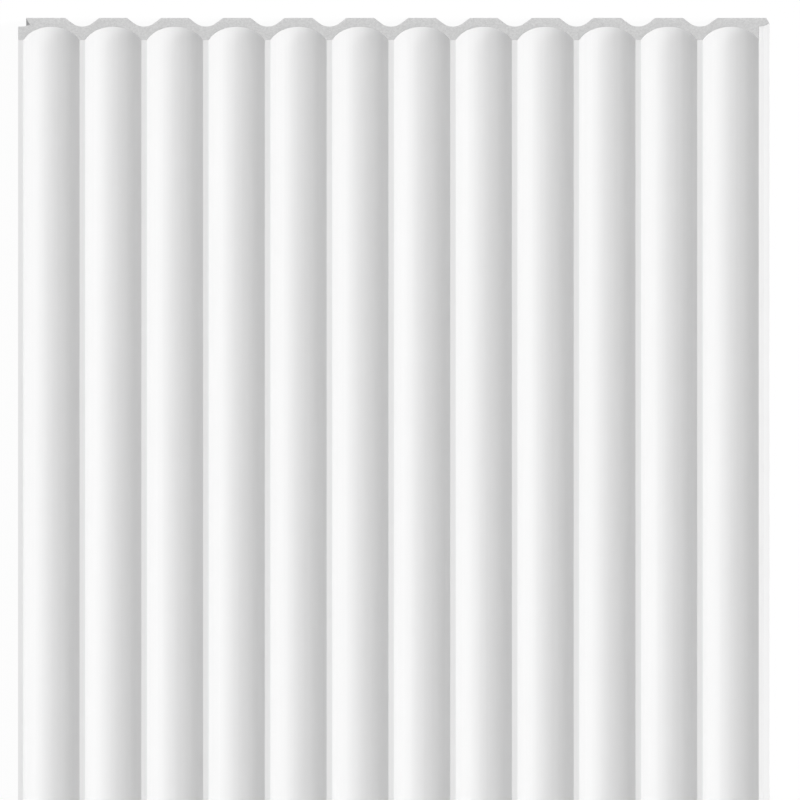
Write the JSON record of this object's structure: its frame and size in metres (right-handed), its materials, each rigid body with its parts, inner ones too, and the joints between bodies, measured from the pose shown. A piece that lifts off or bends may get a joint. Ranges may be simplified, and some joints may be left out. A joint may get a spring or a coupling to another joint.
{
  "type": "fluted wall panel",
  "caption": "Long white wall panel with a row of concave flutes and narrow flat lands on its face, hollows along its back, and a tongue and a rebate on its long edges.",
  "frame": {"origin": "centre of the bounding box, on the plane of the flat back lands that the panel lies on", "axes": "+Z out of the fluted face, +Y along the flutes to the end that the picture shows, +X towards the tongue, so the rebate is at -X"},
  "size_m": [0.2534, 2, 0.01],
  "materials": {
    "white_polymer": "white primed skin with a soft sheen, sawn ends a little greyer with fine closed cells"
  },
  "bodies": {
    "root": {"fluted_panel": "white_polymer"}
  },
  "joints": []
}
